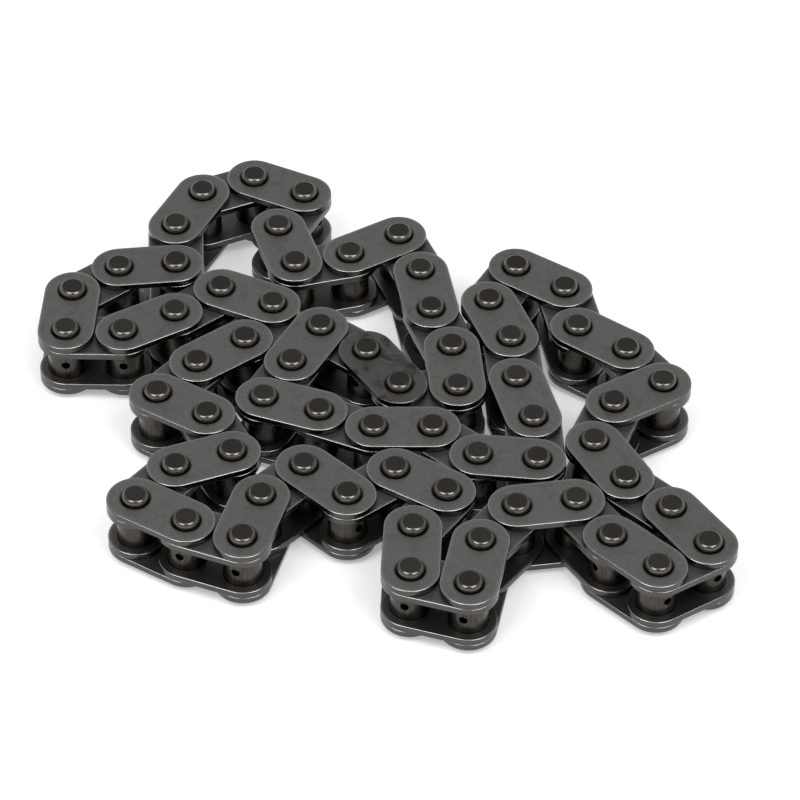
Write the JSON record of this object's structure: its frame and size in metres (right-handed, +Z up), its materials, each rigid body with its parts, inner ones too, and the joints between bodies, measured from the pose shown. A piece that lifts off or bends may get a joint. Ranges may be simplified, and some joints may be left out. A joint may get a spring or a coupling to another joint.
{
  "type": "timing chain",
  "caption": "Endless simplex bush chain of steel plates, pins and rolled bushes, folded on its side, with every link node on its own pivot.",
  "frame": {"origin": "middle of the folded heap as seen from above, on the surface that the pin ends stand on", "axes": "+X to the right and +Y away from the viewer of the picture, +Z up along the pins"},
  "size_m": [0.1134, 0.1038, 0.0127],
  "materials": {
    "outer_link_steel": "satin dark grey hardened steel plates and pins",
    "inner_link_steel": "satin dark grey hardened steel plates and rolled bushes"
  },
  "bodies": {
    "outer_link_01": {"outer_link_01": "outer_link_steel"},
    "inner_link_01": {"inner_link_01": "inner_link_steel"},
    "outer_link_02": {"outer_link_02": "outer_link_steel"},
    "inner_link_02": {"inner_link_02": "inner_link_steel"},
    "outer_link_03": {"outer_link_03": "outer_link_steel"},
    "inner_link_03": {"inner_link_03": "inner_link_steel"},
    "outer_link_04": {"outer_link_04": "outer_link_steel"},
    "inner_link_04": {"inner_link_04": "inner_link_steel"},
    "outer_link_05": {"outer_link_05": "outer_link_steel"},
    "inner_link_05": {"inner_link_05": "inner_link_steel"},
    "outer_link_06": {"outer_link_06": "outer_link_steel"},
    "inner_link_06": {"inner_link_06": "inner_link_steel"},
    "outer_link_07": {"outer_link_07": "outer_link_steel"},
    "inner_link_07_with_outer_link_08": {"inner_link_07_with_outer_link_08": "outer_link_steel"},
    "inner_link_08": {"inner_link_08": "inner_link_steel"},
    "outer_link_09": {"outer_link_09": "outer_link_steel"},
    "inner_link_09": {"inner_link_09": "inner_link_steel"},
    "outer_link_10": {"outer_link_10": "outer_link_steel"},
    "inner_link_10": {"inner_link_10": "inner_link_steel"},
    "outer_link_11": {"outer_link_11": "outer_link_steel"},
    "inner_link_11": {"inner_link_11": "inner_link_steel"},
    "outer_link_12": {"outer_link_12": "outer_link_steel"},
    "inner_link_12": {"inner_link_12": "inner_link_steel"},
    "outer_link_13_with_inner_link_13": {"outer_link_13_with_inner_link_13": "outer_link_steel"},
    "outer_link_14_with_inner_link_14": {"outer_link_14_with_inner_link_14": "outer_link_steel"},
    "outer_link_15": {"outer_link_15": "outer_link_steel"},
    "inner_link_15": {"inner_link_15": "inner_link_steel"},
    "outer_link_16": {"outer_link_16": "outer_link_steel"},
    "inner_link_16": {"inner_link_16": "inner_link_steel"},
    "outer_link_17": {"outer_link_17": "outer_link_steel"},
    "inner_link_17": {"inner_link_17": "inner_link_steel"},
    "outer_link_18": {"outer_link_18": "outer_link_steel"},
    "inner_link_18": {"inner_link_18": "inner_link_steel"},
    "outer_link_19_with_inner_link_19": {"outer_link_19_with_inner_link_19": "outer_link_steel"},
    "outer_link_20": {"outer_link_20": "outer_link_steel"},
    "inner_link_20": {"inner_link_20": "inner_link_steel"},
    "outer_link_21": {"outer_link_21": "outer_link_steel"},
    "inner_link_21": {"inner_link_21": "inner_link_steel"},
    "outer_link_22": {"outer_link_22": "outer_link_steel"},
    "inner_link_22": {"inner_link_22": "inner_link_steel"},
    "outer_link_23": {"outer_link_23": "outer_link_steel"},
    "inner_link_23": {"inner_link_23": "inner_link_steel"},
    "outer_link_24_with_inner_link_24": {"outer_link_24_with_inner_link_24": "outer_link_steel"},
    "outer_link_25": {"outer_link_25": "outer_link_steel"},
    "inner_link_25": {"inner_link_25": "inner_link_steel"},
    "outer_link_26_with_inner_link_26": {"outer_link_26_with_inner_link_26": "outer_link_steel"},
    "outer_link_27": {"outer_link_27": "outer_link_steel"},
    "inner_link_27": {"inner_link_27": "inner_link_steel"},
    "outer_link_28": {"outer_link_28": "outer_link_steel"},
    "inner_link_28": {"inner_link_28": "inner_link_steel"},
    "outer_link_29": {"outer_link_29": "outer_link_steel"},
    "inner_link_29": {"inner_link_29": "inner_link_steel"},
    "outer_link_30": {"outer_link_30": "outer_link_steel"},
    "inner_link_30": {"inner_link_30": "inner_link_steel"},
    "outer_link_31": {"outer_link_31": "outer_link_steel"},
    "inner_link_31": {"inner_link_31": "inner_link_steel"},
    "outer_link_32": {"outer_link_32": "outer_link_steel"},
    "inner_link_32": {"inner_link_32": "inner_link_steel"},
    "outer_link_33": {"outer_link_33": "outer_link_steel"},
    "inner_link_33": {"inner_link_33": "inner_link_steel"}
  },
  "joints": [
    {"name": "pivot_34", "type": "hinge", "parent": "outer_link_17", "child": "inner_link_17", "pos_m": [0.02537, -0.0198, 0.006], "axis": [0, 0, 1], "range_deg": [-20.49, 0]},
    {"name": "pivot_35", "type": "hinge", "parent": "inner_link_17", "child": "outer_link_18", "pos_m": [0.02487, -0.01028, 0.006], "axis": [0, 0, 1], "range_deg": [-10.56, 0]},
    {"name": "pivot_36_right_fold", "type": "hinge", "parent": "outer_link_18", "child": "inner_link_18", "pos_m": [0.02225, -0.00113, 0.006], "axis": [0, 0, 1], "range_deg": [0, 41.75]},
    {"name": "pivot_37", "type": "hinge", "parent": "inner_link_18", "child": "outer_link_19_with_inner_link_19", "pos_m": [0.02142, 0.00836, 0.006], "axis": [0, 0, 1], "range_deg": [-31.35, 0]},
    {"name": "pivot_39", "type": "hinge", "parent": "outer_link_19_with_inner_link_19", "child": "outer_link_20", "pos_m": [0.02247, 0.02552, 0.006], "axis": [0, 0, 1], "range_deg": [0, 6.9]},
    {"name": "pivot_40", "type": "hinge", "parent": "outer_link_20", "child": "inner_link_20", "pos_m": [0.03055, 0.02048, 0.006], "axis": [0, 0, 1], "range_deg": [0, 23.47]},
    {"name": "pivot_41", "type": "hinge", "parent": "inner_link_20", "child": "outer_link_21", "pos_m": [0.03253, 0.01116, 0.006], "axis": [0, 0, 1], "range_deg": [-37.94, 0]},
    {"name": "pivot_42", "type": "hinge", "parent": "outer_link_21", "child": "inner_link_21", "pos_m": [0.04042, 0.00583, 0.006], "axis": [0, 0, 1], "range_deg": [0, 8.79]},
    {"name": "pivot_43", "type": "hinge", "parent": "inner_link_21", "child": "outer_link_22", "pos_m": [0.04615, -0.00177, 0.006], "axis": [0, 0, 1], "range_deg": [0, 16.84]},
    {"name": "pivot_44", "type": "hinge", "parent": "outer_link_22", "child": "inner_link_22", "pos_m": [0.03799, -0.00668, 0.006], "axis": [0, 0, 1], "range_deg": [0, 8.41]},
    {"name": "pivot_45", "type": "hinge", "parent": "inner_link_22", "child": "outer_link_23", "pos_m": [0.03458, -0.01557, 0.006], "axis": [0, 0, 1], "range_deg": [-8.48, 0]},
    {"name": "pivot_46_right_swing", "type": "hinge", "parent": "outer_link_23", "child": "inner_link_23", "pos_m": [0.03934, -0.02382, 0.006], "axis": [0, 0, 1], "range_deg": [-13, 60]},
    {"name": "pivot_47", "type": "hinge", "parent": "inner_link_23", "child": "outer_link_24_with_inner_link_24", "pos_m": [0.04642, -0.03019, 0.006], "axis": [0, 0, 1], "range_deg": [-60.01, 13.01]},
    {"name": "pivot_49", "type": "hinge", "parent": "outer_link_24_with_inner_link_24", "child": "outer_link_25", "pos_m": [0.04394, -0.04295, 0.006], "axis": [0, 0, 1], "range_deg": [-13.01, 60.01]},
    {"name": "pivot_50", "type": "hinge", "parent": "outer_link_25", "child": "inner_link_25", "pos_m": [0.03686, -0.03657, 0.006], "axis": [0, 0, 1], "range_deg": [-60.01, 13.01]},
    {"name": "pivot_51", "type": "hinge", "parent": "inner_link_25", "child": "outer_link_26_with_inner_link_26", "pos_m": [0.0314, -0.02877, 0.006], "axis": [0, 0, 1], "range_deg": [-17.21, 0]},
    {"name": "pivot_53", "type": "hinge", "parent": "outer_link_26_with_inner_link_26", "child": "outer_link_27", "pos_m": [0.01626, -0.03787, 0.006], "axis": [0, 0, 1], "range_deg": [-9.82, 0]},
    {"name": "pivot_54", "type": "hinge", "parent": "outer_link_27", "child": "inner_link_27", "pos_m": [0.01444, -0.04722, 0.006], "axis": [0, 0, 1], "range_deg": [0, 29.68]},
    {"name": "pivot_55", "type": "hinge", "parent": "inner_link_27", "child": "outer_link_28", "pos_m": [0.00528, -0.04459, 0.006], "axis": [0, 0, 1], "range_deg": [0, 13.91]},
    {"name": "pivot_56", "type": "hinge", "parent": "outer_link_28", "child": "inner_link_28", "pos_m": [0.00562, -0.03507, 0.006], "axis": [0, 0, 1], "range_deg": [0, 11.69]},
    {"name": "pivot_57", "type": "hinge", "parent": "inner_link_28", "child": "outer_link_29", "pos_m": [0.01094, -0.02718, 0.006], "axis": [0, 0, 1], "range_deg": [-10.71, 0]},
    {"name": "pivot_58", "type": "hinge", "parent": "outer_link_29", "child": "inner_link_29", "pos_m": [0.00269, -0.02242, 0.006], "axis": [0, 0, 1], "range_deg": [-13.76, 0]},
    {"name": "pivot_59", "type": "hinge", "parent": "inner_link_29", "child": "outer_link_30", "pos_m": [-0.00481, -0.02828, 0.006], "axis": [0, 0, 1], "range_deg": [0, 31.68]},
    {"name": "pivot_60", "type": "hinge", "parent": "outer_link_30", "child": "inner_link_30", "pos_m": [-0.01189, -0.02191, 0.006], "axis": [0, 0, 1], "range_deg": [-11.58, 0]},
    {"name": "pivot_61_left_fold", "type": "hinge", "parent": "inner_link_30", "child": "outer_link_31", "pos_m": [-0.01851, -0.02876, 0.006], "axis": [0, 0, -1], "range_deg": [0, 52.62]},
    {"name": "pivot_62", "type": "hinge", "parent": "outer_link_31", "child": "inner_link_31", "pos_m": [-0.02113, -0.03791, 0.006], "axis": [0, 0, 1], "range_deg": [0, 16.63]},
    {"name": "pivot_63", "type": "hinge", "parent": "inner_link_31", "child": "outer_link_32", "pos_m": [-0.03008, -0.03466, 0.006], "axis": [0, 0, 1], "range_deg": [0, 12.66]},
    {"name": "pivot_64", "type": "hinge", "parent": "outer_link_32", "child": "inner_link_32", "pos_m": [-0.03833, -0.02989, 0.006], "axis": [0, 0, 1], "range_deg": [0, 12.3]},
    {"name": "pivot_65", "type": "hinge", "parent": "inner_link_32", "child": "outer_link_33", "pos_m": [-0.03234, -0.02249, 0.006], "axis": [0, 0, 1], "range_deg": [0, 11.33]},
    {"name": "pivot_33", "type": "hinge", "parent": "outer_link_17", "child": "inner_link_16", "pos_m": [0.01588, -0.01897, 0.006], "axis": [0, 0, -1], "range_deg": [-23.58, 0]},
    {"name": "pivot_32", "type": "hinge", "parent": "inner_link_16", "child": "outer_link_16", "pos_m": [0.00859, -0.01284, 0.006], "axis": [0, 0, -1], "range_deg": [0, 53.38]},
    {"name": "pivot_31", "type": "hinge", "parent": "outer_link_16", "child": "inner_link_15", "pos_m": [-0.00094, -0.01301, 0.006], "axis": [0, 0, -1], "range_deg": [-65.31, 0]},
    {"name": "pivot_30", "type": "hinge", "parent": "inner_link_15", "child": "outer_link_15", "pos_m": [-0.00977, -0.00944, 0.006], "axis": [0, 0, -1], "range_deg": [0, 45.32]},
    {"name": "pivot_29", "type": "hinge", "parent": "outer_link_15", "child": "outer_link_14_with_inner_link_14", "pos_m": [-0.01883, -0.0065, 0.006], "axis": [0, 0, -1], "range_deg": [-31.05, 0]},
    {"name": "pivot_27", "type": "hinge", "parent": "outer_link_14_with_inner_link_14", "child": "outer_link_13_with_inner_link_13", "pos_m": [-0.01003, 0.0104, 0.006], "axis": [0, 0, -1], "range_deg": [-11.2, 0]},
    {"name": "pivot_25", "type": "hinge", "parent": "outer_link_13_with_inner_link_13", "child": "inner_link_12", "pos_m": [0.00314, -0.003, 0.006], "axis": [0, 0, -1], "range_deg": [0, 8.3]},
    {"name": "pivot_24", "type": "hinge", "parent": "inner_link_12", "child": "outer_link_12", "pos_m": [0.01266, -0.00333, 0.006], "axis": [0, 0, -1], "range_deg": [0, 14.77]},
    {"name": "pivot_23", "type": "hinge", "parent": "outer_link_12", "child": "inner_link_11", "pos_m": [0.01166, 0.00614, 0.006], "axis": [0, 0, -1], "range_deg": [0, 20.82]},
    {"name": "pivot_22", "type": "hinge", "parent": "inner_link_11", "child": "outer_link_11", "pos_m": [0.00825, 0.01503, 0.006], "axis": [0, 0, -1], "range_deg": [-46.5, 0]},
    {"name": "pivot_21", "type": "hinge", "parent": "outer_link_11", "child": "inner_link_10", "pos_m": [0.00643, 0.02438, 0.006], "axis": [0, 0, -1], "range_deg": [0, 15.02]},
    {"name": "pivot_20", "type": "hinge", "parent": "inner_link_10", "child": "outer_link_10", "pos_m": [0.00271, 0.03315, 0.006], "axis": [0, 0, -1], "range_deg": [0, 55.17]},
    {"name": "pivot_19", "type": "hinge", "parent": "outer_link_10", "child": "inner_link_09", "pos_m": [-0.00546, 0.02824, 0.006], "axis": [0, 0, -1], "range_deg": [-13.01, 0]},
    {"name": "pivot_18", "type": "hinge", "parent": "inner_link_09", "child": "outer_link_09", "pos_m": [-0.01466, 0.02578, 0.006], "axis": [0, 0, -1], "range_deg": [-13.69, 0]},
    {"name": "pivot_17", "type": "hinge", "parent": "outer_link_09", "child": "inner_link_08", "pos_m": [-0.01776, 0.03478, 0.006], "axis": [0, 0, -1], "range_deg": [-60.01, 9.01]},
    {"name": "pivot_16_back_swing", "type": "hinge", "parent": "inner_link_08", "child": "inner_link_07_with_outer_link_08", "pos_m": [-0.01358, 0.04335, 0.006], "axis": [0, 0, -1], "range_deg": [-9, 60]},
    {"name": "pivot_14", "type": "hinge", "parent": "inner_link_07_with_outer_link_08", "child": "outer_link_07", "pos_m": [-0.03098, 0.04335, 0.006], "axis": [0, 0, -1], "range_deg": [-60.01, 9.01]},
    {"name": "pivot_13", "type": "hinge", "parent": "outer_link_07", "child": "inner_link_06", "pos_m": [-0.03516, 0.03478, 0.006], "axis": [0, 0, -1], "range_deg": [-9.01, 60.01]},
    {"name": "pivot_12", "type": "hinge", "parent": "inner_link_06", "child": "outer_link_06", "pos_m": [-0.03466, 0.02527, 0.006], "axis": [0, 0, -1], "range_deg": [-35.51, 0]},
    {"name": "pivot_11", "type": "hinge", "parent": "outer_link_06", "child": "inner_link_05", "pos_m": [-0.04412, 0.02411, 0.006], "axis": [0, 0, -1], "range_deg": [0, 11.88]},
    {"name": "pivot_10", "type": "hinge", "parent": "inner_link_05", "child": "outer_link_05", "pos_m": [-0.05152, 0.01812, 0.006], "axis": [0, 0, -1], "range_deg": [0, 11.61]},
    {"name": "pivot_09", "type": "hinge", "parent": "outer_link_05", "child": "inner_link_04", "pos_m": [-0.05202, 0.0086, 0.006], "axis": [0, 0, -1], "range_deg": [0, 12.81]},
    {"name": "pivot_08", "type": "hinge", "parent": "inner_link_04", "child": "outer_link_04", "pos_m": [-0.04249, 0.0086, 0.006], "axis": [0, 0, -1], "range_deg": [0, 11.55]},
    {"name": "pivot_07", "type": "hinge", "parent": "outer_link_04", "child": "inner_link_03", "pos_m": [-0.03424, 0.01337, 0.006], "axis": [0, 0, -1], "range_deg": [0, 11.53]},
    {"name": "pivot_06", "type": "hinge", "parent": "inner_link_03", "child": "outer_link_03", "pos_m": [-0.02684, 0.01936, 0.006], "axis": [0, 0, -1], "range_deg": [-11.83, 0]},
    {"name": "pivot_05", "type": "hinge", "parent": "outer_link_03", "child": "inner_link_02", "pos_m": [-0.01807, 0.01564, 0.006], "axis": [0, 0, -1], "range_deg": [-12.44, 0]},
    {"name": "pivot_04", "type": "hinge", "parent": "inner_link_02", "child": "outer_link_02", "pos_m": [-0.0224, 0.00715, 0.006], "axis": [0, 0, -1], "range_deg": [-12.05, 0]},
    {"name": "pivot_03", "type": "hinge", "parent": "outer_link_02", "child": "inner_link_01", "pos_m": [-0.03, 0.00142, 0.006], "axis": [0, 0, -1], "range_deg": [0, 26.35]},
    {"name": "pivot_02", "type": "hinge", "parent": "inner_link_01", "child": "outer_link_01", "pos_m": [-0.03613, -0.00588, 0.006], "axis": [0, 0, -1], "range_deg": [0, 10.66]},
    {"name": "pivot_01", "type": "hinge", "parent": "outer_link_01", "child": "inner_link_33", "pos_m": [-0.02788, -0.01064, 0.006], "axis": [0, 0, -1], "range_deg": [-37.26, 0]}
  ],
  "couplings": [
    {"joint": "pivot_34", "follows": "pivot_36_right_fold", "ratio": -0.49046},
    {"joint": "pivot_35", "follows": "pivot_36_right_fold", "ratio": -0.25267},
    {"joint": "pivot_37", "follows": "pivot_36_right_fold", "ratio": -0.75061},
    {"joint": "pivot_39", "follows": "pivot_36_right_fold", "ratio": 0.16493},
    {"joint": "pivot_40", "follows": "pivot_36_right_fold", "ratio": 0.56199},
    {"joint": "pivot_41", "follows": "pivot_36_right_fold", "ratio": -0.9086},
    {"joint": "pivot_42", "follows": "pivot_36_right_fold", "ratio": 0.21019},
    {"joint": "pivot_43", "follows": "pivot_36_right_fold", "ratio": 0.403},
    {"joint": "pivot_44", "follows": "pivot_36_right_fold", "ratio": 0.20131},
    {"joint": "pivot_45", "follows": "pivot_36_right_fold", "ratio": -0.20276},
    {"joint": "pivot_47", "follows": "pivot_46_right_swing", "ratio": -1},
    {"joint": "pivot_49", "follows": "pivot_46_right_swing", "ratio": 1},
    {"joint": "pivot_50", "follows": "pivot_46_right_swing", "ratio": -1},
    {"joint": "pivot_51", "follows": "pivot_36_right_fold", "ratio": -0.41208},
    {"joint": "pivot_53", "follows": "pivot_36_right_fold", "ratio": -0.23489},
    {"joint": "pivot_54", "follows": "pivot_36_right_fold", "ratio": 0.71066},
    {"joint": "pivot_55", "follows": "pivot_61_left_fold", "ratio": 0.26414},
    {"joint": "pivot_56", "follows": "pivot_61_left_fold", "ratio": 0.22199},
    {"joint": "pivot_57", "follows": "pivot_61_left_fold", "ratio": -0.20331},
    {"joint": "pivot_58", "follows": "pivot_61_left_fold", "ratio": -0.2613},
    {"joint": "pivot_59", "follows": "pivot_61_left_fold", "ratio": 0.60195},
    {"joint": "pivot_60", "follows": "pivot_61_left_fold", "ratio": -0.21994},
    {"joint": "pivot_62", "follows": "pivot_61_left_fold", "ratio": 0.31579},
    {"joint": "pivot_63", "follows": "pivot_61_left_fold", "ratio": 0.24033},
    {"joint": "pivot_64", "follows": "pivot_61_left_fold", "ratio": 0.23359},
    {"joint": "pivot_65", "follows": "pivot_61_left_fold", "ratio": 0.21516},
    {"joint": "pivot_33", "follows": "pivot_61_left_fold", "ratio": -0.44784},
    {"joint": "pivot_32", "follows": "pivot_61_left_fold", "ratio": 1.0142},
    {"joint": "pivot_31", "follows": "pivot_61_left_fold", "ratio": -1.2411},
    {"joint": "pivot_30", "follows": "pivot_61_left_fold", "ratio": 0.86107},
    {"joint": "pivot_29", "follows": "pivot_61_left_fold", "ratio": -0.58992},
    {"joint": "pivot_27", "follows": "pivot_61_left_fold", "ratio": -0.2127},
    {"joint": "pivot_25", "follows": "pivot_61_left_fold", "ratio": 0.1575},
    {"joint": "pivot_24", "follows": "pivot_61_left_fold", "ratio": 0.28043},
    {"joint": "pivot_23", "follows": "pivot_61_left_fold", "ratio": 0.39541},
    {"joint": "pivot_22", "follows": "pivot_61_left_fold", "ratio": -0.88345},
    {"joint": "pivot_21", "follows": "pivot_61_left_fold", "ratio": 0.28517},
    {"joint": "pivot_20", "follows": "pivot_61_left_fold", "ratio": 1.0482},
    {"joint": "pivot_19", "follows": "pivot_61_left_fold", "ratio": -0.24712},
    {"joint": "pivot_18", "follows": "pivot_61_left_fold", "ratio": -0.25995},
    {"joint": "pivot_17", "follows": "pivot_16_back_swing", "ratio": -1},
    {"joint": "pivot_14", "follows": "pivot_16_back_swing", "ratio": -1},
    {"joint": "pivot_13", "follows": "pivot_16_back_swing", "ratio": 1},
    {"joint": "pivot_12", "follows": "pivot_61_left_fold", "ratio": -0.67472},
    {"joint": "pivot_11", "follows": "pivot_61_left_fold", "ratio": 0.22558},
    {"joint": "pivot_10", "follows": "pivot_61_left_fold", "ratio": 0.22052},
    {"joint": "pivot_09", "follows": "pivot_61_left_fold", "ratio": 0.24327},
    {"joint": "pivot_08", "follows": "pivot_61_left_fold", "ratio": 0.21937},
    {"joint": "pivot_07", "follows": "pivot_61_left_fold", "ratio": 0.21901},
    {"joint": "pivot_06", "follows": "pivot_61_left_fold", "ratio": -0.22471},
    {"joint": "pivot_05", "follows": "pivot_61_left_fold", "ratio": -0.23625},
    {"joint": "pivot_04", "follows": "pivot_61_left_fold", "ratio": -0.22888},
    {"joint": "pivot_03", "follows": "pivot_61_left_fold", "ratio": 0.50052},
    {"joint": "pivot_02", "follows": "pivot_61_left_fold", "ratio": 0.20233},
    {"joint": "pivot_01", "follows": "pivot_61_left_fold", "ratio": -0.70791}
  ]
}
